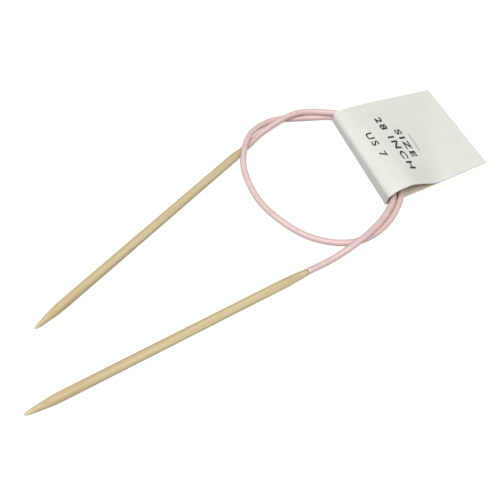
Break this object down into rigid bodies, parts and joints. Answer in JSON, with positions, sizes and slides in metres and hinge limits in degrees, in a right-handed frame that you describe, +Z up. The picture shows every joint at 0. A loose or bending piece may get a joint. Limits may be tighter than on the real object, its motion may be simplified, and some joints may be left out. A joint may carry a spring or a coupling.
{
  "type": "circular knitting needle",
  "caption": "Circular knitting needle: two turned wooden points joined by a soft tube cable that lies in loops through a folded card size label.",
  "frame": {"origin": "under the middle of the box round the two needles and the label, on the surface that they lie on", "axes": "+Z up from the surface; +Y from the needle points towards the label's free edges; +X along the label's fold"},
  "size_m": [0.1054, 0.2544, 0.01],
  "materials": {
    "bamboo": "smooth sanded bamboo with fine long fibres",
    "dowel": "plain bamboo dowel",
    "cable": "soft translucent pink tube",
    "card": "uncoated off-white card with dark print",
    "tape": "double-sided tape"
  },
  "bodies": {
    "cable": {"cable": "cable"},
    "needle_a": {"needle_a_shaft": "bamboo", "needle_a_pin": "dowel"},
    "needle_b": {"needle_b_shaft": "bamboo", "needle_b_pin": "dowel"},
    "label": {"label_card": "card", "label_tape": "tape"}
  },
  "joints": [
    {"name": "needle_a_swing", "type": "hinge", "parent": "cable", "child": "needle_a", "pos_m": [-0.0438, 0.00545, 0.00225], "axis": [0, 0, 1], "range_deg": [-7, 6], "stiffness_Nm_per_rad": 0.003},
    {"name": "needle_b_swing", "type": "hinge", "parent": "cable", "child": "needle_b", "pos_m": [0.0323, 0.0142, 0.0025], "axis": [0, 0, 1], "range_deg": [-5, 25], "stiffness_Nm_per_rad": 0.003, "deforming": ["cable"]},
    {"name": "label_slide", "type": "slide", "parent": "cable", "child": "label", "axis": [1, 0, 0], "range_m": [0, 0.001]}
  ]
}
